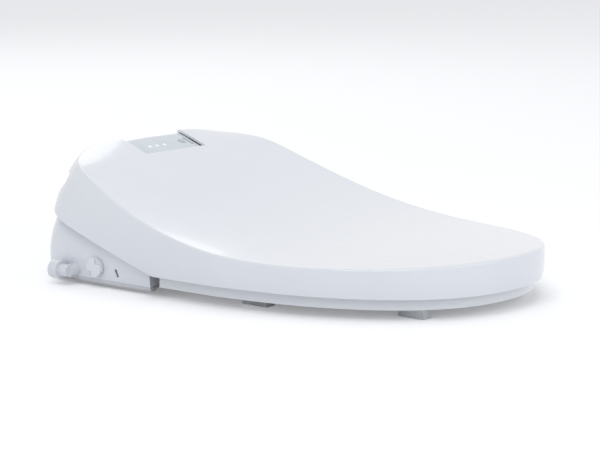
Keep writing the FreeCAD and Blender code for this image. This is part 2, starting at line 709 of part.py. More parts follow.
def make_upper_cover():
    shell = UNIT.fuse(display_volume(0.0))
    shell = shell.cut(INSIDE.fuse(display_volume(size.cover_wall)))
    shell = shell.cut(box_between((-400, 400), (-400, 400), (-50, case_top + size.seam)))
    jacket = box_between((well_inner - SKIN, well_outer + SKIN), (well_front - SKIN, 100),
                         (well_low - SKIN, 300))
    shell = shell.fuse([side.common(UNIT) for side in both_sides(jacket)])
    well = box_between((well_inner, well_outer), (well_front, 200), (well_low, 300))
    shell = shell.cut(both_sides(well))
    shaft = Part.makeCylinder(size.lid_shaft_radius + size.running_fit, 400,
                              Vector(-200, size.lid_axis_y, size.lid_axis_z), Vector(1, 0, 0))
    reach = size.lid_arm_inner + size.lid_arm_width + 4
    shaft = shaft.common(box_between((-reach - 0.5, reach + 0.5), (-400, 400), (0, 300)))
    pins = Part.makeCylinder(size.seat_pin_radius, 2 * size.bay_outer + 40, Vector(
        -size.bay_outer - 20, size.seat_axis_y, size.seat_axis_z), Vector(1, 0, 0))
    shell = shell.cut([shaft, pins])
    channel = box_between((-channel_half - SKIN - tray_gap, channel_half + SKIN + tray_gap),
                          (0, 200), (0, channel_top + SKIN + tray_gap))
    nozzle_mouth = Part.makeCylinder(guide_radius + size.seam, 60,
                                     nozzle_exit - nozzle_way * 30, nozzle_way)
    outlet = box_between((outlet_inner, outlet_outer),
                         (-size.block_front - 20, -size.block_front + 12),
                         (size.duct_low - 4, size.duct_high + 3))
    knob_hole = Part.makeCylinder(size.knob_radius - 3, 30, Vector(-flank - 20, size.knob_y,
                                  size.knob_z), Vector(1, 0, 0))
    inlet_hole = Part.makeCylinder(size.inlet_radius, 30, Vector(-flank - 20, size.inlet_y,
                                   size.inlet_z), Vector(1, 0, 0))
    release = box_between((flank - 20, flank + 20), (size.release_y - 9 - size.seam,
                          size.release_y + 9 + size.seam),
                          (size.release_z - 5 - size.seam, size.release_z + 5 + size.seam))
    bay = box_between((flank - 20, flank + 20), (size.filter_front - size.seam,
                      size.filter_rear + size.seam),
                      (size.filter_low - size.seam, size.filter_high + size.seam))
    gland = Part.makeCylinder(7, 30, Vector(flank - 20, size.gland_y, size.gland_z),
                              Vector(1, 0, 0))
    slot = box_between((-flank - 20, -flank + 20), (size.knob_y - 32, size.knob_y - 28.5),
                       (size.knob_z - 8.5, size.knob_z + 0.5))
    slot.rotate(Vector(0, size.knob_y - 30, size.knob_z - 4), Vector(1, 0, 0), -18)
    shell = shell.cut([channel, nozzle_mouth, outlet, knob_hole, inlet_hole, release, bay, gland,
                       slot])
    lens = box_between((-size.display_half + size.lens_margin, size.display_half
                        - size.lens_margin), (display_front + size.lens_margin, display_rear
                        - size.lens_margin), (60, 300))
    recess = lens.common(under_roof(size.display_drop).cut(under_roof(size.display_drop
                                                                      + size.lens_thickness)))
    shell = shell.cut(recess)
    window = box_between((-size.display_half + 9, size.display_half - 9),
                         (display_front + 8, display_rear - 8), (100, 300))
    shell = shell.cut(window)
    for x, y in post_places():
        low = Vector(x, y, case_top + size.seam)
        post = Part.makeCylinder(size.post_radius, 200, low).common(UNIT)
        post = post.cut(Part.makeCylinder(size.screw_radius, size.screw_length, low))
        shell = shell.fuse(max(post.Solids, key=lambda solid: -solid.BoundBox.ZMin))
    return shell.removeSplitter(), recess


upper_cover, lens_blank = make_upper_cover()
export(freeform("upper_cover", upper_cover), "upper_cover")
button_hole = Part.makeCylinder(size.button_radius + size.button_gap, 100, Vector(
    size.button_x, (display_front + display_rear) / 2, 90))
export(freeform("display_lens", lens_blank.cut(button_hole)), "display_lens")

lens_middle = (display_front + display_rear) / 2
board_z = roof_height(0, display_front) - size.display_drop - 12
display_board = freeform("display_board", box_between(
    (-size.display_half + 8, size.display_half - 8), (display_front + 5, display_rear - 6),
    (board_z, board_z + 1.6)))
export(display_board, "display_board")


def make_power_button():
    """Round key in the display; its skirt stops it from lifting out."""
    column = Part.makeCylinder(size.button_radius, 100, Vector(size.button_x, lens_middle, 90))
    top = column.common(under_roof(size.display_drop - 0.4))
    key = top.cut(under_roof(size.display_drop + 5))
    skirt = Part.makeCylinder(size.button_radius + 1.5, 100, Vector(size.button_x, lens_middle, 90))
    low = size.display_drop + size.lens_thickness + 0.1
    collar = skirt.common(under_roof(low)).cut(under_roof(low + 1.2))
    return key.fuse(collar).removeSplitter()


export(freeform("power_button", make_power_button()), "power_button")

feet = []
for side in (-1, 1):
    for along in ("lid_rear - 32", "-wing_front + 42"):
        feet.append(rod("unit_foot_%d" % len(feet), "Z", "7", ("%d * 148" % side, along),
                        ("0", "unit_bottom")))
export(group("unit_foot_set", feet), "unit_feet")

case_screws = [screw("case_screw_%d" % index, repr(round(x, 4)), repr(round(y, 4)), "unit_bottom",
                     "screw_length") for index, (x, y) in enumerate(post_places())]
export(group("case_screw_set", case_screws), "case_screws")

pins = []
for side in (-1, 1):
    span = ("bay_inner - 5", "bay_outer + 5")
    if side < 0:
        span = ("-(bay_outer + 5)", "-(bay_inner - 5)")
    pins.append(rod("seat_pin_%d" % (side + 1), "X", "seat_pin_radius",
                    ("seat_axis_y", "seat_axis_z"), span))
export(group("seat_pin_set", pins), "seat_hinge_pins")

# ---------------------------------------------------------------- dampers
seat_damper = rod("seat_damper_body", "X", "seat_pin_radius + 5", ("seat_axis_y", "seat_axis_z"),
                  ("-(bay_outer + 20)", "-(bay_outer + 5)"))
export(seat_damper, "seat_damper")
lid_damper = less("lid_damper_body",
                  rod("lid_damper_can", "X", "lid_shaft_radius + 6", ("lid_axis_y",
                      "lid_axis_z"), ("-40", "-8")),
                  rod("lid_damper_bore", "X", "lid_shaft_radius + running_fit",
                      ("lid_axis_y", "lid_axis_z"), ("-41", "-7")),
                  block("lid_damper_flat", ("-41", "-7"), ("lid_axis_y + 1.5", "lid_rear + 20"),
                        ("lid_axis_z - 20", "lid_axis_z + 20")))
export(lid_damper, "lid_damper")

# ---------------------------------------------------------------- nozzle and its drive
along_nozzle = Rotation(Vector(0, 0, 1), nozzle_way)


def on_nozzle(shape, back):
    """Set a shape drawn along +Z onto the nozzle's axis, back from the exit."""
    placed = shape.copy()
    placed.Placement = Placement(nozzle_exit - nozzle_way * back, nozzle_frame)
    return placed


NORMAL = Vector(0, -math.sin(nozzle_turn), math.cos(nozzle_turn))
nozzle_frame = Rotation(Vector(1, 0, 0), NORMAL, nozzle_way, "ZXY")
tip_length = 16.0
cap_length = 3.0
cap_face = 6.0
tube_start = tip_length + cap_length - cap_face
tube_end = tube_start + size.nozzle_length - tip_length


def make_nozzle_parts():
    tube = Part.makeCylinder(size.nozzle_radius, size.nozzle_length - tip_length)
    tube = tube.cut(Part.makeCylinder(3.2, size.nozzle_length))
    flat = Part.makeBox(40, 20, 300, Vector(-20, size.nozzle_radius - 1.5, -1))
    tube = on_nozzle(tube.cut(flat), tube_end)
    tip = Part.makeCylinder(size.nozzle_radius, tip_length)
    tip = tip.makeFillet(0.8, [tip.Edges[0]])
    holes = [Part.makeCylinder(0.7, 20, Vector(x, 0, 8), Vector(0, 1, 0)) for x in (-2.2, 0, 2.2)]
    feed = Part.makeCylinder(3.2, 9, Vector(0, 0, 0))
    tip = on_nozzle(tip.cut(flat).cut(holes).cut(feed), tube_start)
    cap = Part.makeCylinder(cap_radius, cap_length)
    cap = on_nozzle(cap.makeFillet(1.0, [cap.Edges[0]]), cap_length - cap_face)
    rack_low = size.nozzle_radius - 1.5
    rack_long = size.nozzle_length - tip_length
    rack = Part.makeBox(size.rack_width, size.rack_height, rack_long,
                        Vector(-size.rack_width / 2, rack_low, 0))
    pitch = 2 * math.pi * size.pinion_radius / 16
    teeth = int(rack_long / pitch)
    for tooth in range(teeth):
        rack = rack.cut(Part.makeBox(size.rack_width + 2, size.tooth_depth + 1, pitch / 2, Vector(
            -size.rack_width / 2 - 1, rack_low + size.rack_height - size.tooth_depth,
            tooth * pitch + pitch / 4)))
    return tube, tip, cap, on_nozzle(rack, tube_end)


nozzle_tube, nozzle_tip, nozzle_cap, nozzle_rack = make_nozzle_parts()
export(freeform("nozzle_tube", nozzle_tube), "nozzle_tube")
export(freeform("nozzle_tip", nozzle_tip), "nozzle_tip")
export(freeform("nozzle_cap", nozzle_cap), "nozzle_cap")
export(freeform("nozzle_rack", nozzle_rack), "nozzle_rack")

guide_long = size.nozzle_length - 8
pinion_back = 22.0
pinion_rise = size.nozzle_radius - 1.5 + size.rack_height + size.pinion_radius + 0.1


def make_nozzle_guide():
    """Sleeve round the nozzle with a slot on top for the rack and its pinion."""
    sleeve = Part.makeCylinder(guide_radius, guide_long)
    sleeve = sleeve.cut(Part.makeCylinder(size.nozzle_radius + size.nozzle_fit, guide_long + 2,
                                          Vector(0, 0, -1)))
    slot_half = size.rack_width / 2 + 0.6
    sleeve = sleeve.cut(Part.makeBox(2 * slot_half, 30, guide_long + 2, Vector(-slot_half, 2, -1)))
    sleeve = on_nozzle(sleeve, guide_long + 1)
    trim = box_between((-60, 60), (-300, -size.block_front + 1.2), (-60, 100))
    plate = box_between((-60, 60), (-200, 200), (-60, size.unit_bottom + size.case_floor + 0.2))
    return sleeve.cut([trim, plate])


export(freeform("nozzle_guide", make_nozzle_guide()), "nozzle_guide")


def make_pinion():
    """Sixteen-tooth gear whose teeth run over the nozzle's rack."""
    outer = size.pinion_radius
    root = outer - size.tooth_depth
    gear = Part.makeCylinder(root, size.rack_width, Vector(), Vector(0, 0, 1))
    count = 16
    width = math.pi * outer / count * 0.75
    for tooth in range(count):
        cog = Part.makeBox(size.tooth_depth + 1, width, size.rack_width, Vector(root - 1,
                                                                                -width / 2, 0))
        cog.rotate(Vector(), Vector(0, 0, 1), 360 * (tooth + 0.5) / count)
        gear = gear.fuse(cog)
    gear = gear.cut(Part.makeCylinder(size.pinion_hole, 30, Vector(0, 0, -5)))
    gear.Placement = Placement(pinion_place() - Vector(size.rack_width / 2, 0, 0),
                               Rotation(Vector(0, 1, 0), 90))
    return gear.removeSplitter()


def pinion_place():
    centre = nozzle_exit - nozzle_way * (pinion_back + 20) + NORMAL * pinion_rise
    return centre


export(freeform("drive_pinion", make_pinion()), "drive_pinion")
motor_place = pinion_place()
motor = Part.makeCylinder(13, 20, motor_place + Vector(guide_radius + 1, 0, 0), Vector(1, 0, 0))
spindle = Part.makeCylinder(size.pinion_hole - size.running_fit, guide_radius + 2
                            + size.rack_width / 2, motor_place - Vector(size.rack_width / 2, 0, 0),
                            Vector(1, 0, 0))
export(freeform("nozzle_motor", motor.fuse(spindle).removeSplitter()), "nozzle_motor")

# ---------------------------------------------------------------- water path
flank_text = "lid_half_width - lid_wall - flank_gap"
inlet_out = "-(%s) - thread_radius - inlet_gap" % flank_text
water_inlet = less(
    "water_inlet_body",
    fused("inlet_solids",
          rod("inlet_stub", "X", "inlet_radius", ("inlet_y", "inlet_z"),
              (inlet_out, "-(%s) + 12" % flank_text)),
          rod("inlet_elbow", "Y", "inlet_radius", (inlet_out, "inlet_z"),
              ("inlet_y - 4", "inlet_y + 9")),
          rod("inlet_thread", "Y", "thread_radius", (inlet_out, "inlet_z"),
              ("inlet_y + 9", "inlet_y + 22"))),
    rod("inlet_bore", "Y", "4", (inlet_out, "inlet_z"), ("inlet_y", "inlet_y + 30")),
    rod("inlet_cross_bore", "X", "4", ("inlet_y", "inlet_z"), (inlet_out,
        "-(%s) + 20" % flank_text)))
export(water_inlet, "water_inlet")

inlet_nut = less(
    "inlet_nut_body",
    rod("inlet_nut_round", "X", "inlet_radius + 3.5", ("inlet_y", "inlet_z"),
        ("-(%s) + cover_wall + 3" % flank_text, "-(%s) + cover_wall + 8" % flank_text)),
    rod("inlet_nut_bore", "X", "inlet_radius + nut_clearance", ("inlet_y", "inlet_z"),
        ("-(%s)" % flank_text, "-(%s) + 20" % flank_text)))
export(inlet_nut, "inlet_nut")

valve_inner = "-(%s) + 31" % flank_text
valve = fused(
    "solenoid_valve_body",
    block("valve_block", ("-(%s) + 12" % flank_text, valve_inner), ("inlet_y - 9", "inlet_y + 9"),
          ("unit_bottom + case_floor", "inlet_z + 12")),
    rod("valve_coil", "Z", "8", ("-(%s) + 23" % flank_text, "inlet_y"),
        ("inlet_z + 12", "inlet_z + 34")))
export(valve, "solenoid_valve")

filter_socket = less(
    "filter_socket_body",
    rod("filter_socket_round", "X", "knob_radius", ("knob_y", "knob_z"),
        ("-(%s) + cover_wall + 0.6" % flank_text, "-(%s) + 26" % flank_text)),
    rod("filter_socket_bore", "X", "knob_radius - 3.5 + running_fit", ("knob_y", "knob_z"),
        ("-(%s) - 1" % flank_text, "-(%s) + 22" % flank_text)))
export(filter_socket, "filter_socket")

filter_knob = fused(
    "filter_knob_body",
    rod("knob_disc", "X", "knob_radius", ("knob_y", "knob_z"),
        ("-(%s) - knob_out" % flank_text, "-(%s) - knob_gap" % flank_text)),
    rod("knob_stem", "X", "knob_radius - 3.5", ("knob_y", "knob_z"),
        ("-(%s) - knob_gap" % flank_text, "-(%s) + 21" % flank_text)))
knob_cut = less(
    "filter_knob_grip", filter_knob,
    block("knob_slot_upper", ("-(%s) - knob_out - 1" % flank_text,
          "-(%s) - knob_out + 2.2" % flank_text), ("knob_y - knob_radius - 1", "knob_y - 2"),
          ("knob_z + 4", "knob_z + knob_radius + 1")),
    block("knob_slot_lower", ("-(%s) - knob_out - 1" % flank_text,
          "-(%s) - knob_out + 2.2" % flank_text), ("knob_y + 2", "knob_y + knob_radius + 1"),
          ("knob_z - knob_radius - 1", "knob_z - 4")))
export(knob_cut, "filter_knob")

heater = fused(
    "water_heater_body",
    block("heater_tank", ("-bay_outer + 2", "-bay_inner - 4"), ("-16", "lid_rear - 19"),
          ("channel_level + 14", "channel_level + 70")),
    rod("heater_port_low", "Z", "4", ("-bay_inner - 14", "-6"),
        ("channel_level + 70", "channel_level + 76")),
    rod("heater_port_high", "Z", "4", ("-bay_outer + 14", "-6"),
        ("channel_level + 70", "channel_level + 76")))
export(heater, "water_heater")

selector = fused(
    "flow_selector_body",
    rod("selector_barrel", "Z", "15", ("-66", "0"), ("channel_level + 4", "channel_level + 30")),
    block("selector_manifold", ("-84", "-48"), ("-22", "-12"),
          ("channel_level + 6", "channel_level + 18")),
    rod("selector_motor", "Z", "10", ("-66", "0"), ("channel_level + 30", "channel_level + 48")))
export(selector, "flow_selector")

pump = fused(
    "air_pump_body",
    block("pump_base", ("-90", "-34"), ("-78", "-42"), ("unit_bottom + case_floor",
          "unit_bottom + case_floor + 26")),
    rod("pump_motor", "X", "11", ("-60", "unit_bottom + case_floor + 35"), ("-88", "-52")))
export(pump, "air_pump")

# ---------------------------------------------------------------- electrics
supply = fused(
    "power_supply_body",
    block("supply_case", ("bay_inner + 4", "bay_outer - 2"), ("-16", "lid_rear - 19"),
          ("channel_level + 18", "channel_level + 70")),
    block("supply_flange", ("bay_inner + 4", "bay_outer + 8"), ("-6", "lid_rear - 26"),
          ("channel_level + 18", "channel_level + 21")))
export(supply, "power_supply")

board = fused(
    "control_board_body",
    block("board_sheet", ("24", "96"), ("4", "lid_rear - 20"),
          ("channel_level + 6", "channel_level + 7.6")),
    block("board_relay", ("70", "90"), ("12", "27"), ("channel_level + 7.6", "channel_level + 22")),
    rod("board_capacitor", "Z", "6", ("52", "20"), ("channel_level + 7.6", "channel_level + 27")),
    block("board_chip", ("30", "42"), ("10", "22"), ("channel_level + 7.6",
          "channel_level + 9.6")))
export(board, "control_board")

cord_gland = less(
    "cord_gland_body",
    fused("gland_solids",
          rod("gland_neck", "X", "7", ("gland_y", "gland_z"),
              (flank_text + " - 8", flank_text + " + 3")),
          rod("gland_sleeve", "X", "5", ("gland_y", "gland_z"),
              (flank_text + " + 3", flank_text + " + 16"))),
    rod("gland_bore", "X", "3.2", ("gland_y", "gland_z"), (flank_text + " - 9",
        flank_text + " + 17")))
export(cord_gland, "cord_gland")

# ---------------------------------------------------------------- unit release
release_rod = fused(
    "release_button_body",
    block("release_key", (flank_text + " - 3", flank_text + " + release_out"),
          ("release_y - 9", "release_y + 9"), ("release_z - 5", "release_z + 5")),
    block("release_bar", ("plate_half + slide_gap + 9", flank_text + " - 3"),
          ("release_y - 4", "release_y + 4"), ("release_z - 4", "release_z + 4")))
export(release_rod, "release_button")

# ---------------------------------------------------------------- deodoriser
cart_out = flank_text + " + 1.5"
cartridge = fused(
    "deodoriser_filter_body",
    block("filter_fascia", (flank_text + " - fascia_thickness", cart_out),
          ("filter_front", "filter_rear"), ("filter_low", "filter_high")),
    block("filter_core", (flank_text + " - filter_depth", flank_text + " - fascia_thickness"),
          ("filter_front + 3", "filter_rear - 3"), ("filter_low + 3", "filter_high - 3")))
cartridge = less(
    "deodoriser_filter_cut", cartridge,
    *[block("filter_finger_%d" % index, (cart_out + " - 1", cart_out + " + 1"),
            ("filter_front + %d" % (8 + 6 * index), "filter_front + %d" % (11 + 6 * index)),
            ("filter_low + 6", "filter_high - 6")) for index in range(5)])
export(cartridge, "deodoriser_filter")

housing = less(
    "deodoriser_housing_body",
    block("filter_bay_outer", (flank_text + " - filter_depth - 2.4", flank_text
          + " - cover_wall - 0.6"), ("filter_front + 0.6", "filter_rear - 0.6"),
          ("filter_low + 0.6", "filter_high - 0.6")),
    block("filter_bay_inner", (flank_text + " - filter_depth - 0.4", flank_text + " + 5"),
          ("filter_front + 2.6", "filter_rear - 2.6"), ("filter_low + 2.6", "filter_high - 2.6")))
export(housing, "deodoriser_housing")

# ---------------------------------------------------------------- dryer
fan_top = "fan_low + fan_height"
volute = less(
    "dryer_duct_body",
    fused("duct_solids",
          rod("volute_can", "Z", "fan_radius + 5", ("dryer_x", "fan_y"),
              ("fan_low - 3.5", "%s + 3.5" % fan_top)),
          block("duct_drop", ("dryer_x - duct_half - duct_wall", "dryer_x + duct_half + duct_wall"),
                ("-block_front + 3", "fan_y - fan_radius + 4"), ("duct_low - duct_wall",
                "%s" % fan_top))),
    rod("volute_hollow", "Z", "fan_radius + 2.5", ("dryer_x", "fan_y"),
        ("fan_low - 1.2", "%s + 1.2" % fan_top)),
    block("duct_hollow", ("dryer_x - duct_half", "dryer_x + duct_half"),
          ("-block_front", "fan_y - fan_radius + 2"), ("duct_low", "duct_high")),
    block("duct_throat", ("dryer_x - duct_half", "dryer_x + duct_half"),
          ("fan_y - fan_radius - 8", "fan_y - fan_radius + 2"), ("duct_low", "%s - duct_wall"
                                                                 % fan_top)),
    rod("duct_spindle_hole", "Z", "3", ("dryer_x", "fan_y"), (fan_top, "%s + 6" % fan_top)))
export(volute, "dryer_duct")

dryer_motor = fused(
    "dryer_motor_body",
    rod("dryer_motor_can", "Z", "13", ("dryer_x", "fan_y"),
        ("%s + 3.5" % fan_top, "%s + 22" % fan_top)),
    rod("dryer_motor_shaft", "Z", "2", ("dryer_x", "fan_y"), ("fan_low + 1", "%s + 3.5" % fan_top)))
export(dryer_motor, "dryer_motor")


def make_fan_wheel():
    """Back plate, hub and a ring of blades, bored to run on the motor's shaft."""
    body = doc.addObject("PartDesign::Body", "fan_wheel_body")
    disc = sketch_on(body, "wheel_disc", "XY_Plane")
    sketch_circle(disc, "0", "0", "fan_radius")
    sketch_circle(disc, "0", "0", "2 + running_fit")
    pad(body, disc, "1.5", "wheel_plate")
    doc.recompute()
    hub = sketch_on(body, "wheel_hub", "XY_Plane")
    sketch_circle(hub, "0", "0", "5")
    sketch_circle(hub, "0", "0", "2 + running_fit")
    pad(body, hub, "fan_height - 1", "hub")
    doc.recompute()
    blade = sketch_on(body, "wheel_blade", "XY_Plane")
    sketch_polygon(blade, [("fan_radius - 6", "-0.6"), ("fan_radius - 0.3", "-0.6"),
                           ("fan_radius - 0.3", "0.6"), ("fan_radius - 6", "0.6")])
    vane = pad(body, blade, "fan_height - 2", "vane")
    doc.recompute()
    ring = body.newObject("PartDesign::PolarPattern", "vanes")
    ring.Originals = [vane]
    ring.Axis = (blade, ["N_Axis"])
    ring.Angle = 360
    ring.Occurrences = 24
    body.Tip = ring
    bind(body, "Placement.Base.x", "dryer_x")
    bind(body, "Placement.Base.y", "fan_y")
    bind(body, "Placement.Base.z", "fan_low")
    return body


export(make_fan_wheel(), "dryer_fan_wheel")

heater_bars = [block("dryer_bar_%d" % index,
                     ("dryer_x - duct_half", "dryer_x + duct_half"),
                     ("-block_front + %d" % (9 + 4 * index), "-block_front + %d" % (11 + 4 * index)),
                     ("(duct_low + duct_high) / 2 - 4", "(duct_low + duct_high) / 2 + 4"))
               for index in range(3)]
export(group("dryer_heater_set", heater_bars), "dryer_heater")

flap_axis_z = "duct_high + 1"
flap = fused(
    "dryer_flap_body",
    block("flap_sheet", ("dryer_x - duct_half - 0.5", "dryer_x + duct_half + 0.5"),
          ("-block_front + 0.2", "-block_front + 2"), ("duct_low - 1", flap_axis_z)),
    rod("flap_hinge", "X", "1.5", ("-block_front + 1.5", flap_axis_z),
        ("dryer_x - duct_half - 2.2", "dryer_x + duct_half + 2.2")))
export(flap, "dryer_flap")


# ---------------------------------------------------------------- check and write
doc.recompute()
broken = [item.Label for item in doc.Objects if {"Invalid", "Error"} & set(item.State)]
if broken:
    raise RuntimeError("did not build: " + ", ".join(broken))
for item in subparts:
    if item.Shape.isNull() or not item.Shape.isValid() or not item.Shape.Solids:
        raise RuntimeError("%s has no valid solid" % item.Label)
os.makedirs("parts", exist_ok=True)
for item in subparts:
    item.Shape.exportStep("parts/%s.step" % item.Label)
    print("%-22s %2d solids %10.0f mm3" % (item.Label, len(item.Shape.Solids), item.Shape.Volume))
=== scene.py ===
"""Looks of an electric bidet seat: finishes, small fitted pieces and the stage."""
import json
import math

import bmesh
import bpy
from mathutils import Matrix, Vector
from mathutils.bvhtree import BVHTree


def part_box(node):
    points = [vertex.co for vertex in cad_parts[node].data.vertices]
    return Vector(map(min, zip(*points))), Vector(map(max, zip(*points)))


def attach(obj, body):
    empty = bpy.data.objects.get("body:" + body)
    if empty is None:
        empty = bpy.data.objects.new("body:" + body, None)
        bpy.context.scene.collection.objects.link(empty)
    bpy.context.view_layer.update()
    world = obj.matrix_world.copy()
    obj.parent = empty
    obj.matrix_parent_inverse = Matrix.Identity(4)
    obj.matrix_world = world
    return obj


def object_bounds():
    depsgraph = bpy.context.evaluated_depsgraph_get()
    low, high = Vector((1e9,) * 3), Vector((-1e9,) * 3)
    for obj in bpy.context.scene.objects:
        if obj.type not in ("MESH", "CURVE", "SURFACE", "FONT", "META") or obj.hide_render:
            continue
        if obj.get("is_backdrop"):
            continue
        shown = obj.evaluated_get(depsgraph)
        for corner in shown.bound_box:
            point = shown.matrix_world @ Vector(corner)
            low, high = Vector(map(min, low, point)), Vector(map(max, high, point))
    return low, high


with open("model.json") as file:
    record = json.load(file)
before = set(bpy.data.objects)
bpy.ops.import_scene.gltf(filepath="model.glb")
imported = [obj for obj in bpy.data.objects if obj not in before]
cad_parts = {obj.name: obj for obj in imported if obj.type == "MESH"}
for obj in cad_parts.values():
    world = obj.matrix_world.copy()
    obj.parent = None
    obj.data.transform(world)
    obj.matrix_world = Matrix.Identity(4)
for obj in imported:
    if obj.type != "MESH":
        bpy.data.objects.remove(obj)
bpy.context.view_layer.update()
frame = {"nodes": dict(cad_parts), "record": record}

bl_info = {
    "name": "Electric Bidet Seat",
    "version": (1, 0, 0),
    "blender": (4, 5, 0),
    "location": "3D View > Sidebar > Bidet Seat",
    "description": "Finishes and fitted pieces of an electric bidet seat",
    "category": "Object",
}

DOUBLE_DISTANCE = 1e-6
SHARP_ANGLE = math.radians(38)
DROP_HEIGHT = 1.0
LIGHT_FLATNESS = 0.12
LIGHT_OFFSET = (-0.012, -0.002)
# Place and size of the dark strip at the display's end, which is painted shadow of the gap there
GAP_SHADOW_INSET = 0.004
GAP_SHADOW_REAR_MARGIN = 0.010
GAP_SHADOW_FRONT_MARGIN = 0.008
GAP_SHADOW_ROWS = 14
GAP_SHADOW_LIFT = 0.00012
GAP_SHADOW_THICKNESS = 0.0003
GRIP_LENGTH = 0.0052
GRIP_SETBACK = 0.0012
GRIP_SINK = 0.45
GRIP_TAPER = 0.8
THREAD_STEPS = 32
THREAD_CREST = 0.0002
FLOOR_SIZE = 30.0
FLOOR_DROP = 0.0002
FLOOR_LIFT = 0.22


# Settings a user would change

def colour(name, description, default):
    return bpy.props.FloatVectorProperty(
        name=name,
        description=description,
        subtype="COLOR",
        size=3,
        min=0.0,
        max=1.0,
        default=default,
    )


def length(name, description, default):
    return bpy.props.FloatProperty(
        name=name,
        description=description,
        default=default,
        min=0.0,
        unit="LENGTH",
        subtype="DISTANCE",
        precision=4,
    )


def ratio(name, description, default):
    return bpy.props.FloatProperty(
        name=name, description=description, default=default, min=0.0, max=1.0, subtype="FACTOR"
    )


class BidetSeatFinishes(bpy.types.PropertyGroup):
    """Colours of the moulded, metal and rubber parts."""

    shell: colour("Shell", "Gloss plastic of the lid and cover", (0.80, 0.82, 0.875))
    seat: colour("Seat", "Gloss plastic of the seat ring", (0.81, 0.83, 0.875))
    case: colour("Lower case", "Satin plastic of the lower case", (0.70, 0.71, 0.75))
    display: colour("Display", "Smoked blue-grey display window", (0.60, 0.665, 0.725))
    rubber: colour("Rubber", "Grey rubber of feet and pads", (0.36, 0.37, 0.39))
    steel: colour("Steel", "Stainless steel of screws, pins and nozzle", (0.72, 0.72, 0.71))
    lamp_on: colour("Status light", "Lit status light on the display", (0.93, 0.96, 0.99))
    shell_roughness: ratio("Shell roughness", "Roughness of the gloss plastic", 0.16)


class BidetSeatDetails(bpy.types.PropertyGroup):
    """Sizes of the small fitted pieces."""

    lamp_radius: length("Light radius", "Radius of a status light", 0.0021)
    lamp_spacing: length("Light spacing", "Distance between status lights", 0.0125)
    grip_ribs: bpy.props.IntProperty(
        name="Grip ribs", description="Ribs round the filter knob", default=20, min=6, max=60
    )
    grip_depth: length("Grip depth", "How far a grip rib stands out", 0.0007)
    thread_pitch: length("Thread pitch", "Pitch of the water inlet's thread", 0.0018)
    thread_depth: length("Thread depth", "Depth of the water inlet's thread", 0.0009)
    # Width of the dark strip at the display's end, which is painted shadow of the gap there
    gap_shadow_width: length("Trim width", "Width of the dark trim at the display's end", 0.0011)


class BidetSeatStage(bpy.types.PropertyGroup):
    """Camera and lamps."""

    lens: bpy.props.FloatProperty(
        name="Lens", description="Focal length on a 36 mm sensor", default=145.0, min=20.0, max=400.0
    )
    target: bpy.props.FloatVectorProperty(
        name="Target", description="Point the camera looks at", default=(0.0, -0.175, 0.062),
        subtype="XYZ", unit="LENGTH",
    )
    place: bpy.props.FloatVectorProperty(
        name="Camera place", description="Where the camera stands", default=(-2.088, -1.919, 0.512),
        subtype="XYZ", unit="LENGTH",
    )
    room: ratio("Room light", "Strength of the even room light", 0.62)


# Making meshes

def settings():
    return bpy.context.scene


def piece(name, mesh, material, body):
    """A finished piece at the origin that rides on a body."""
    bmesh.ops.remove_doubles(mesh, verts=mesh.verts, dist=DOUBLE_DISTANCE)
    bmesh.ops.recalc_face_normals(mesh, faces=mesh.faces)
    data = bpy.data.meshes.new(name)
    mesh.to_mesh(data)
    mesh.free()
    data.materials.append(material)
    thing = bpy.data.objects.new(name, data)
    bpy.context.scene.collection.objects.link(thing)
    for face in data.polygons:
        face.use_smooth = True
    data.set_sharp_from_angle(angle=SHARP_ANGLE)
    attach(thing, body)
    return thing


def middle(node):
    low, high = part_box(node)
    return (low + high) / 2


def surface_tree(node):
    """The surface of a CAD node, to lay a piece on."""
    data = frame["nodes"][node].data
    data.calc_loop_triangles()
    corners = [v.co.copy() for v in data.vertices]
    faces = [tuple(t.vertices) for t in data.loop_triangles]
    return BVHTree.FromPolygons(corners, faces)


def on_top(tree, x, y):
    """The highest point of a surface over (x, y), with its normal."""
    place, normal, _, _ = tree.ray_cast(Vector((x, y, DROP_HEIGHT)), Vector((0.0, 0.0, -1.0)))
    if place is None:
        raise RuntimeError(f"no surface under ({x:.4f}, {y:.4f})")
    if normal.z < 0:
        normal = -normal
    return place, normal


def stand_on(normal, place):
    """The turn and move that stand a piece made at the origin on a surface."""
    return Matrix.Translation(place) @ normal.to_track_quat("Z", "Y").to_matrix().to_4x4()


# Materials

SHADE_PLACES = (0.3, 0.5, 0.7)


def new_material(name):
    material = bpy.data.materials.new(name)
    material.use_nodes = True
    tree = material.node_tree
    shader = tree.nodes["Principled BSDF"]
    coords = tree.nodes.new("ShaderNodeTexCoord")
    coords.location = (-1100, 0)
    return material, tree, shader, coords


def noise(tree, coords, scale, detail=4.0, stretch=None):
    """Noise on Object coordinates, in points per metre, stretched where asked."""
    texture = tree.nodes.new("ShaderNodeTexNoise")
    texture.inputs["Scale"].default_value = scale
    texture.inputs["Detail"].default_value = detail
    source = coords.outputs["Object"]
    if stretch:
        mapping = tree.nodes.new("ShaderNodeMapping")
        mapping.inputs["Scale"].default_value = stretch
        tree.links.new(source, mapping.inputs["Vector"])
        source = mapping.outputs["Vector"]
    tree.links.new(source, texture.inputs["Vector"])
    return texture.outputs["Fac"]


def spread(tree, source, low, high, start=0.35, end=0.65):
    """Maps the middle of a noise to a range of values."""
    remap = tree.nodes.new("ShaderNodeMapRange")
    remap.inputs["From Min"].default_value = start
    remap.inputs["From Max"].default_value = end
    remap.inputs["To Min"].default_value = low
    remap.inputs["To Max"].default_value = high
    tree.links.new(source, remap.inputs["Value"])
    return remap.outputs["Result"]


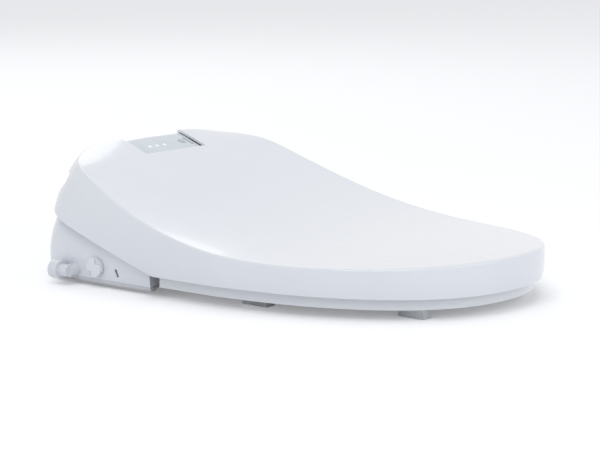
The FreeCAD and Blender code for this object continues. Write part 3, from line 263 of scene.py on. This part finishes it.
def shades(tree, source, tones, places=(0.35, 0.65)):
    """A ramp between a few shades of a colour."""
    ramp = tree.nodes.new("ShaderNodeValToRGB")
    while len(ramp.color_ramp.elements) < len(tones):
        ramp.color_ramp.elements.new(0.5)
    for element, tone, place in zip(ramp.color_ramp.elements, tones, places):
        element.position = place
        element.color = (*tone, 1.0)
    tree.links.new(source, ramp.inputs["Fac"])
    return ramp.outputs["Color"]


def relief(tree, shader, source, height, strength=1.0, under=None):
    """Bump of a real height in metres."""
    bump = tree.nodes.new("ShaderNodeBump")
    bump.inputs["Distance"].default_value = height
    bump.inputs["Strength"].default_value = strength
    tree.links.new(source, bump.inputs["Height"])
    if under is not None:
        tree.links.new(under, bump.inputs["Normal"])
    tree.links.new(bump.outputs["Normal"], shader.inputs["Normal"])
    return bump.outputs["Normal"]


def tinted(tone, factor):
    return tuple(min(1.0, part * factor) for part in tone)


def gloss_plastic(name, tone, roughness, ripple=0.00004, coat=0.35):
    """Polished moulded plastic: faint flow shades, soft ripple of the polish and fine wipe marks."""
    material, tree, shader, coords = new_material(name)
    flow = noise(tree, coords, 6.0, 3.0)
    tree.links.new(
        shades(tree, flow, (tinted(tone, 0.985), tone, tinted(tone, 1.01)), SHADE_PLACES),
        shader.inputs["Base Color"],
    )
    wipes = noise(tree, coords, 90.0, 6.0, (1.0, 0.25, 1.0))
    tree.links.new(spread(tree, wipes, roughness * 0.8, roughness * 1.3), shader.inputs["Roughness"])
    polish = relief(tree, shader, noise(tree, coords, 55.0, 2.0), ripple, 0.6)
    relief(tree, shader, noise(tree, coords, 1400.0, 2.0), 0.000004, 0.35, polish)
    shader.inputs["IOR"].default_value = 1.5
    shader.inputs["Coat Weight"].default_value = coat
    shader.inputs["Coat Roughness"].default_value = 0.06
    return material


def satin_plastic(name, tone, roughness, grain_scale=1500.0, grain=0.00003):
    """Spark-eroded plastic: fine matt grain over soft shades."""
    material, tree, shader, coords = new_material(name)
    tree.links.new(
        shades(
            tree,
            noise(tree, coords, 25.0),
            (tinted(tone, 0.94), tone, tinted(tone, 1.04)),
            SHADE_PLACES,
        ),
        shader.inputs["Base Color"],
    )
    grain_noise = noise(tree, coords, grain_scale, 3.0)
    tree.links.new(
        spread(tree, grain_noise, roughness * 0.85, min(1.0, roughness * 1.2)),
        shader.inputs["Roughness"],
    )
    relief(tree, shader, grain_noise, grain, 0.6)
    shader.inputs["IOR"].default_value = 1.48
    return material


def rubber(name, tone):
    """Matt rubber with dust-pale shades and a fine skin."""
    material, tree, shader, coords = new_material(name)
    tree.links.new(
        shades(
            tree,
            noise(tree, coords, 60.0, 6.0),
            (tinted(tone, 0.8), tone, tinted(tone, 1.15)),
            (0.3, 0.5, 0.72),
        ),
        shader.inputs["Base Color"],
    )
    skin = noise(tree, coords, 2200.0, 3.0)
    tree.links.new(spread(tree, skin, 0.62, 0.85), shader.inputs["Roughness"])
    relief(tree, shader, skin, 0.00004, 0.7)
    shader.inputs["Specular IOR Level"].default_value = 0.3
    return material


def drawn_metal(name, tone, roughness, stretch, scale=220.0):
    """Drawn or turned metal with fine lines along its working direction."""
    material, tree, shader, coords = new_material(name)
    shader.inputs["Metallic"].default_value = 1.0
    lines = noise(tree, coords, scale, 5.0, stretch)
    tree.links.new(
        shades(
            tree,
            noise(tree, coords, 40.0),
            (tinted(tone, 0.9), tone, tinted(tone, 1.06)),
            SHADE_PLACES,
        ),
        shader.inputs["Base Color"],
    )
    tree.links.new(spread(tree, lines, roughness * 0.7, roughness * 1.4), shader.inputs["Roughness"])
    relief(tree, shader, lines, 0.00002, 0.5)
    return material


def crinkled_foil(name, tone):
    """Aluminium foil of the seat warmer, with its crinkles."""
    material, tree, shader, coords = new_material(name)
    shader.inputs["Metallic"].default_value = 1.0
    cells = tree.nodes.new("ShaderNodeTexVoronoi")
    cells.feature = "DISTANCE_TO_EDGE"
    cells.inputs["Scale"].default_value = 180.0
    tree.links.new(coords.outputs["Object"], cells.inputs["Vector"])
    tree.links.new(
        shades(tree, noise(tree, coords, 80.0), (tinted(tone, 0.85), tone)), shader.inputs["Base Color"]
    )
    tree.links.new(spread(tree, cells.outputs["Distance"], 0.25, 0.42, 0.0, 0.3), shader.inputs["Roughness"])
    relief(tree, shader, cells.outputs["Distance"], 0.0004, 0.5)
    return material


def circuit_board(name, tone):
    """Green solder mask over copper tracks."""
    material, tree, shader, coords = new_material(name)
    tracks = tree.nodes.new("ShaderNodeTexBrick")
    tracks.inputs["Scale"].default_value = 90.0
    tracks.inputs["Mortar Size"].default_value = 0.03
    tracks.inputs["Color1"].default_value = (*tone, 1.0)
    tracks.inputs["Color2"].default_value = (*tinted(tone, 0.8), 1.0)
    tracks.inputs["Mortar"].default_value = (*tinted(tone, 1.9), 1.0)
    tree.links.new(coords.outputs["Object"], tracks.inputs["Vector"])
    tree.links.new(tracks.outputs["Color"], shader.inputs["Base Color"])
    tree.links.new(spread(tree, noise(tree, coords, 700.0), 0.25, 0.45), shader.inputs["Roughness"])
    relief(tree, shader, tracks.outputs["Fac"], 0.00003, 0.8)
    return material


def display_window(name, tone):
    """Smoked glossy window: soft random shades, fine hairlines and a bright coat."""
    material, tree, shader, coords = new_material(name)
    tree.links.new(
        shades(
            tree,
            noise(tree, coords, 30.0, 2.0),
            (tinted(tone, 0.93), tone, tinted(tone, 1.05)),
            SHADE_PLACES,
        ),
        shader.inputs["Base Color"],
    )
    hairlines = noise(tree, coords, 500.0, 4.0, (0.1, 1.0, 1.0))
    tree.links.new(spread(tree, hairlines, 0.05, 0.12), shader.inputs["Roughness"])
    relief(tree, shader, hairlines, 0.000004, 0.4)
    shader.inputs["Coat Weight"].default_value = 0.8
    shader.inputs["Coat Roughness"].default_value = 0.03
    return material


def status_light(name, tone):
    """Frosted light window with a soft glow."""
    material, tree, shader, coords = new_material(name)
    frost = noise(tree, coords, 1800.0, 3.0)
    glow = shades(tree, frost, (tinted(tone, 0.92), tone))
    tree.links.new(glow, shader.inputs["Base Color"])
    tree.links.new(glow, shader.inputs["Emission Color"])
    tree.links.new(spread(tree, frost, 0.3, 0.5), shader.inputs["Roughness"])
    shader.inputs["Emission Strength"].default_value = 0.25
    relief(tree, shader, frost, 0.00002, 0.4)
    return material


def finish_for(slot):
    """The finish of one material slot, made once."""
    found = bpy.data.materials.get("finish_" + slot)
    if found:
        return found
    tones = settings().bidet_seat_finishes
    shell = tuple(tones.shell)
    steel = tuple(tones.steel)
    gloss = tones.shell_roughness
    name = "finish_" + slot
    makers = {
        "gloss_white": lambda: gloss_plastic(name, shell, gloss),
        "seat_white": lambda: gloss_plastic(name, tuple(tones.seat), gloss * 1.15),
        "case_grey": lambda: satin_plastic(name, tuple(tones.case), 0.38),
        "plate_white": lambda: satin_plastic(name, (0.74, 0.75, 0.76), 0.45),
        "display_grey": lambda: display_window(name, tuple(tones.display)),
        "key_grey": lambda: satin_plastic(name, (0.47, 0.51, 0.56), 0.3, 2200.0, 0.00002),
        "rubber_grey": lambda: rubber(name, tuple(tones.rubber)),
        "rubber_white": lambda: rubber(name, (0.66, 0.67, 0.68)),
        "pin_steel": lambda: drawn_metal(name, steel, 0.24, (0.05, 1.0, 1.0)),
        "screw_steel": lambda: drawn_metal(name, tinted(steel, 0.95), 0.3, (1.0, 1.0, 0.1)),
        "nozzle_steel": lambda: drawn_metal(name, tinted(steel, 1.05), 0.16, (1.0, 0.08, 0.12), 400.0),
        "motor_steel": lambda: drawn_metal(name, tinted(steel, 0.8), 0.38, (1.0, 0.3, 1.0), 300.0),
        "acetal": lambda: satin_plastic(name, (0.76, 0.755, 0.72), 0.33, 900.0, 0.00002),
        "engineering_black": lambda: satin_plastic(name, (0.035, 0.036, 0.038), 0.42),
        "engineering_grey": lambda: satin_plastic(name, (0.30, 0.31, 0.33), 0.44),
        "circuit_green": lambda: circuit_board(name, (0.03, 0.16, 0.07)),
        "heater_foil": lambda: crinkled_foil(name, (0.78, 0.78, 0.79)),
        "fitting_white": lambda: satin_plastic(name, (0.75, 0.77, 0.82), 0.26, 1200.0, 0.000015),
    }
    return makers[slot]()


def dress(*slots):
    """Gives every CAD node of these slots its finish."""
    dressed = 0
    for thing in frame["nodes"].values():
        for index, held in enumerate(thing.data.materials):
            slot = held.name.split(".")[0] if held else None
            if slot in slots:
                thing.data.materials[index] = finish_for(slot)
                dressed += 1
    if not dressed:
        raise RuntimeError(f"no node has a finish named {slots}")


# Operators

class BIDET_OT_shell(bpy.types.Operator):
    """Gives the lid, cover, lower case and their small white parts their moulded finish"""

    bl_idname = "bidet_seat.shell"
    bl_label = "Lid, Cover and Case"

    def execute(self, context):
        dress("gloss_white", "case_grey", "fitting_white")
        return {"FINISHED"}


class BIDET_OT_seat(bpy.types.Operator):
    """Gives the seat ring, its warmer and its bumpers their finish"""

    bl_idname = "bidet_seat.seat"
    bl_label = "Seat Ring"

    def execute(self, context):
        dress("seat_white", "heater_foil", "rubber_white")
        return {"FINISHED"}


class BIDET_OT_mount(bpy.types.Operator):
    """Gives the mounting plate, its pads and the feet their finish"""

    bl_idname = "bidet_seat.mount"
    bl_label = "Mounting Plate"

    def execute(self, context):
        dress("plate_white", "rubber_grey")
        return {"FINISHED"}


class BIDET_OT_works(bpy.types.Operator):
    """Gives the water, air and electric parts inside their finish"""

    bl_idname = "bidet_seat.works"
    bl_label = "Works Inside"

    def execute(self, context):
        dress("engineering_black", "engineering_grey", "acetal", "circuit_green")
        dress("pin_steel", "screw_steel", "motor_steel", "nozzle_steel")
        return {"FINISHED"}


class BIDET_OT_display(bpy.types.Operator):
    """Makes the display's window finish, its status lights and a dark strip at its end that is painted
    shadow of the gap at the window's end
    """

    bl_idname = "bidet_seat.display"
    bl_label = "Display"

    def execute(self, context):
        dress("display_grey", "key_grey")
        sizes = settings().bidet_seat_details
        tones = settings().bidet_seat_finishes
        window = surface_tree("display_lens")
        low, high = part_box("display_lens")
        centre = middle("display_lens")
        lights = bmesh.new()
        for n in (-1, 0, 1):
            x = centre.x + LIGHT_OFFSET[0] + n * sizes.lamp_spacing
            place, normal = on_top(window, x, centre.y + LIGHT_OFFSET[1])
            made = bmesh.ops.create_uvsphere(
                lights, u_segments=24, v_segments=12, radius=sizes.lamp_radius
            )
            bmesh.ops.scale(lights, vec=(1.0, 1.0, LIGHT_FLATNESS), verts=made["verts"])
            bmesh.ops.transform(lights, matrix=stand_on(normal, place), verts=made["verts"])
        glow = status_light("lit_window", tuple(tones.lamp_on))
        piece("status_lights", lights, glow, "unit")

        # A dark strip laid along the window's end: painted shadow of the gap beside the window
        gap_shadow = bmesh.new()
        x = high.x - GAP_SHADOW_INSET
        back, front = high.y - GAP_SHADOW_REAR_MARGIN, low.y + GAP_SHADOW_FRONT_MARGIN
        cut = []
        for n in range(GAP_SHADOW_ROWS + 1):
            y = back + (front - back) * n / GAP_SHADOW_ROWS
            place, normal = on_top(window, x, y)
            left = gap_shadow.verts.new(place + Vector((-sizes.gap_shadow_width / 2, 0, 0)) + normal * GAP_SHADOW_LIFT)
            right = gap_shadow.verts.new(place + Vector((sizes.gap_shadow_width / 2, 0, 0)) + normal * GAP_SHADOW_LIFT)
            cut.append((left, right))
        for (a, b), (c, d) in zip(cut, cut[1:]):
            gap_shadow.faces.new((a, b, d, c))
        bmesh.ops.solidify(gap_shadow, geom=gap_shadow.faces[:], thickness=-GAP_SHADOW_THICKNESS)
        # Near-black paint of the strip: painted shadow
        dark = satin_plastic("gap_shadow_black", (0.09, 0.10, 0.12), 0.28)
        piece("display_gap_shadow", gap_shadow, dark, "unit")
        return {"FINISHED"}


class BIDET_OT_knob_grip(bpy.types.Operator):
    """Makes the grip ribs round the strainer knob"""

    bl_idname = "bidet_seat.knob_grip"
    bl_label = "Knob Grip"

    def execute(self, context):
        sizes = settings().bidet_seat_details
        low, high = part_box("filter_knob")
        centre = middle("filter_knob")
        radius = (high.z - low.z) / 2
        grip = bmesh.new()
        for n in range(sizes.grip_ribs):
            made = bmesh.ops.create_cone(
                grip,
                cap_ends=True,
                segments=10,
                radius1=sizes.grip_depth,
                radius2=sizes.grip_depth * GRIP_TAPER,
                depth=GRIP_LENGTH,
            )
            turn = math.tau * n / sizes.grip_ribs
            bmesh.ops.rotate(grip, verts=made["verts"], matrix=Matrix.Rotation(-math.pi / 2, 3, "Y"))
            out = radius - sizes.grip_depth * GRIP_SINK
            bmesh.ops.translate(grip, verts=made["verts"], vec=(0.0, 0.0, out))
            bmesh.ops.rotate(
                grip, verts=made["verts"], cent=(0, 0, 0), matrix=Matrix.Rotation(turn, 3, "X")
            )
            bmesh.ops.translate(
                grip, verts=made["verts"], vec=(low.x + GRIP_SETBACK + GRIP_LENGTH / 2, centre.y, centre.z)
            )
        piece("knob_grip", grip, finish_for("gloss_white"), "knob")
        return {"FINISHED"}


class BIDET_OT_inlet_thread(bpy.types.Operator):
    """Makes the hose thread on the water inlet"""

    bl_idname = "bidet_seat.inlet_thread"
    bl_label = "Inlet Thread"

    def execute(self, context):
        sizes = settings().bidet_seat_details
        mount = next(m for m in frame["record"]["mounts"] if m["name"] == "water_supply")
        centre = Vector(mount["pos_m"])
        radius = mount["dims"]["r_mm"] / 1000
        reach = mount["dims"]["length_mm"] / 1000
        turns = int(reach * 0.72 / sizes.thread_pitch)
        thread = bmesh.new()
        half = sizes.thread_pitch * 0.36
        start = centre + Vector((0.0, -turns * sizes.thread_pitch / 2, 0.0))
        low = radius - sizes.thread_depth
        profile = [
            thread.verts.new(start + Vector((low, -half, 0.0))),
            thread.verts.new(start + Vector((radius - THREAD_CREST, -half * 0.25, 0.0))),
            thread.verts.new(start + Vector((radius - THREAD_CREST, half * 0.25, 0.0))),
            thread.verts.new(start + Vector((low, half, 0.0))),
        ]
        ring = [thread.edges.new((a, b)) for a, b in zip(profile, profile[1:] + profile[:1])]
        face = thread.faces.new(profile)
        steps = THREAD_STEPS * turns
        bmesh.ops.spin(
            thread,
            geom=[face] + ring + profile,
            cent=start,
            axis=(0.0, 1.0, 0.0),
            dvec=(0.0, sizes.thread_pitch / THREAD_STEPS, 0.0),
            angle=math.tau * turns,
            steps=steps,
        )
        piece("inlet_thread", thread, finish_for("fitting_white"), "unit")
        return {"FINISHED"}


class BIDET_OT_stage(bpy.types.Operator):
    """Makes the floor, the lamps, the room light and the camera"""

    bl_idname = "bidet_seat.stage"
    bl_label = "Stage"

    def execute(self, context):
        scene = context.scene
        view = scene.bidet_seat_stage
        low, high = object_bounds()
        sheet = bmesh.new()
        bmesh.ops.create_grid(sheet, x_segments=4, y_segments=4, size=FLOOR_SIZE)
        bmesh.ops.translate(sheet, verts=sheet.verts, vec=(0.0, 0.0, low.z - FLOOR_DROP))
        data = bpy.data.meshes.new("studio_floor")
        sheet.to_mesh(data)
        sheet.free()
        floor = bpy.data.objects.new("studio_floor", data)
        scene.collection.objects.link(floor)
        data.materials.append(self.floor_paint())
        floor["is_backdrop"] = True
        self.room_light(scene, view.room)
        aim = Vector(view.target)
        self.lamp("key_lamp", (-1.6, -1.2, 2.6), aim, 2.2, 26.0)
        self.lamp("back_lamp", (1.2, 1.8, 2.0), aim, 1.8, 10.0)
        self.lamp("front_lamp", (0.6, -2.6, 0.9), aim, 1.6, 7.0)
        lens = bpy.data.cameras.new("view_lens")
        lens.lens = view.lens
        lens.sensor_width = 36.0
        lens.clip_end = 100.0
        camera = bpy.data.objects.new("view_camera", lens)
        camera.location = view.place
        camera.rotation_euler = (aim - Vector(view.place)).to_track_quat("-Z", "Y").to_euler()
        scene.collection.objects.link(camera)
        scene.camera = camera
        scene.view_settings.view_transform = "Standard"
        return {"FINISHED"}

    def lamp(self, name, place, aim, size, power):
        """A soft square lamp that points at the object."""
        light = bpy.data.lights.new(name, "AREA")
        light.size = size
        light.energy = power
        stand = bpy.data.objects.new(name, light)
        stand.location = place
        stand.rotation_euler = (aim - Vector(place)).to_track_quat("-Z", "Y").to_euler()
        bpy.context.scene.collection.objects.link(stand)

    def seen_ray(self, tree):
        """1 for camera, glossy and transmission rays."""
        path = tree.nodes.new("ShaderNodeLightPath")
        first = tree.nodes.new("ShaderNodeMath")
        first.operation = "MAXIMUM"
        tree.links.new(path.outputs["Is Camera Ray"], first.inputs[0])
        tree.links.new(path.outputs["Is Glossy Ray"], first.inputs[1])
        both = tree.nodes.new("ShaderNodeMath")
        both.operation = "MAXIMUM"
        tree.links.new(first.outputs[0], both.inputs[0])
        tree.links.new(path.outputs["Is Transmission Ray"], both.inputs[1])
        return both.outputs[0]

    def floor_paint(self):
        """Pale floor that keeps the object's shadow and fades to white."""
        material = bpy.data.materials.new("floor_paint")
        material.use_nodes = True
        tree = material.node_tree
        tree.nodes.clear()
        output = tree.nodes.new("ShaderNodeOutputMaterial")
        matt = tree.nodes.new("ShaderNodeBsdfDiffuse")
        matt.inputs["Color"].default_value = (0.93, 0.935, 0.95, 1.0)
        lift = tree.nodes.new("ShaderNodeEmission")
        lift.inputs["Color"].default_value = (1.0, 1.0, 1.0, 1.0)
        strength = tree.nodes.new("ShaderNodeMath")
        strength.operation = "MULTIPLY"
        strength.inputs[1].default_value = FLOOR_LIFT
        tree.links.new(self.seen_ray(tree), strength.inputs[0])
        tree.links.new(strength.outputs[0], lift.inputs["Strength"])
        both = tree.nodes.new("ShaderNodeAddShader")
        tree.links.new(matt.outputs[0], both.inputs[0])
        tree.links.new(lift.outputs[0], both.inputs[1])
        tree.links.new(both.outputs[0], output.inputs["Surface"])
        return material

    def room_light(self, scene, strength):
        """Even white room, seen as plain white."""
        world = bpy.data.worlds.new("studio_room")
        world.use_nodes = True
        tree = world.node_tree
        tree.nodes.clear()
        output = tree.nodes.new("ShaderNodeOutputWorld")
        seen = tree.nodes.new("ShaderNodeBackground")
        seen.inputs["Strength"].default_value = 1.0
        seen.inputs["Color"].default_value = (1.0, 1.0, 1.0, 1.0)
        room = tree.nodes.new("ShaderNodeBackground")
        room.inputs["Strength"].default_value = strength
        room.inputs["Color"].default_value = (0.96, 0.98, 1.0, 1.0)
        mix = tree.nodes.new("ShaderNodeMixShader")
        tree.links.new(self.seen_ray(tree), mix.inputs["Fac"])
        tree.links.new(room.outputs[0], mix.inputs[1])
        tree.links.new(seen.outputs[0], mix.inputs[2])
        tree.links.new(mix.outputs[0], output.inputs["Surface"])
        scene.world = world


OPERATORS = (
    BIDET_OT_shell,
    BIDET_OT_seat,
    BIDET_OT_mount,
    BIDET_OT_works,
    BIDET_OT_display,
    BIDET_OT_knob_grip,
    BIDET_OT_inlet_thread,
    BIDET_OT_stage,
)


class BIDET_PT_panel(bpy.types.Panel):
    """Lists the bidet seat's pieces and settings"""

    bl_label = "Bidet Seat"
    bl_idname = "BIDET_PT_panel"
    bl_space_type = "VIEW_3D"
    bl_region_type = "UI"
    bl_category = "Bidet Seat"

    def draw(self, context):
        layout = self.layout
        for group in ("bidet_seat_finishes", "bidet_seat_details", "bidet_seat_stage"):
            held = getattr(context.scene, group)
            box = layout.box()
            for setting in held.__annotations__:
                box.prop(held, setting)
        for operator in OPERATORS:
            layout.operator(operator.bl_idname)


CLASSES = (BidetSeatFinishes, BidetSeatDetails, BidetSeatStage, *OPERATORS, BIDET_PT_panel)


def register():
    for made in CLASSES:
        bpy.utils.register_class(made)
    bpy.types.Scene.bidet_seat_finishes = bpy.props.PointerProperty(type=BidetSeatFinishes)
    bpy.types.Scene.bidet_seat_details = bpy.props.PointerProperty(type=BidetSeatDetails)
    bpy.types.Scene.bidet_seat_stage = bpy.props.PointerProperty(type=BidetSeatStage)


def unregister():
    del bpy.types.Scene.bidet_seat_stage
    del bpy.types.Scene.bidet_seat_details
    del bpy.types.Scene.bidet_seat_finishes
    for made in reversed(CLASSES):
        bpy.utils.unregister_class(made)


def main():
    register()
    bpy.ops.bidet_seat.shell()
    bpy.ops.bidet_seat.seat()
    bpy.ops.bidet_seat.mount()
    bpy.ops.bidet_seat.works()
    bpy.ops.bidet_seat.display()
    bpy.ops.bidet_seat.knob_grip()
    bpy.ops.bidet_seat.inlet_thread()
    bpy.ops.bidet_seat.stage()


if __name__ == "__main__":
    main()
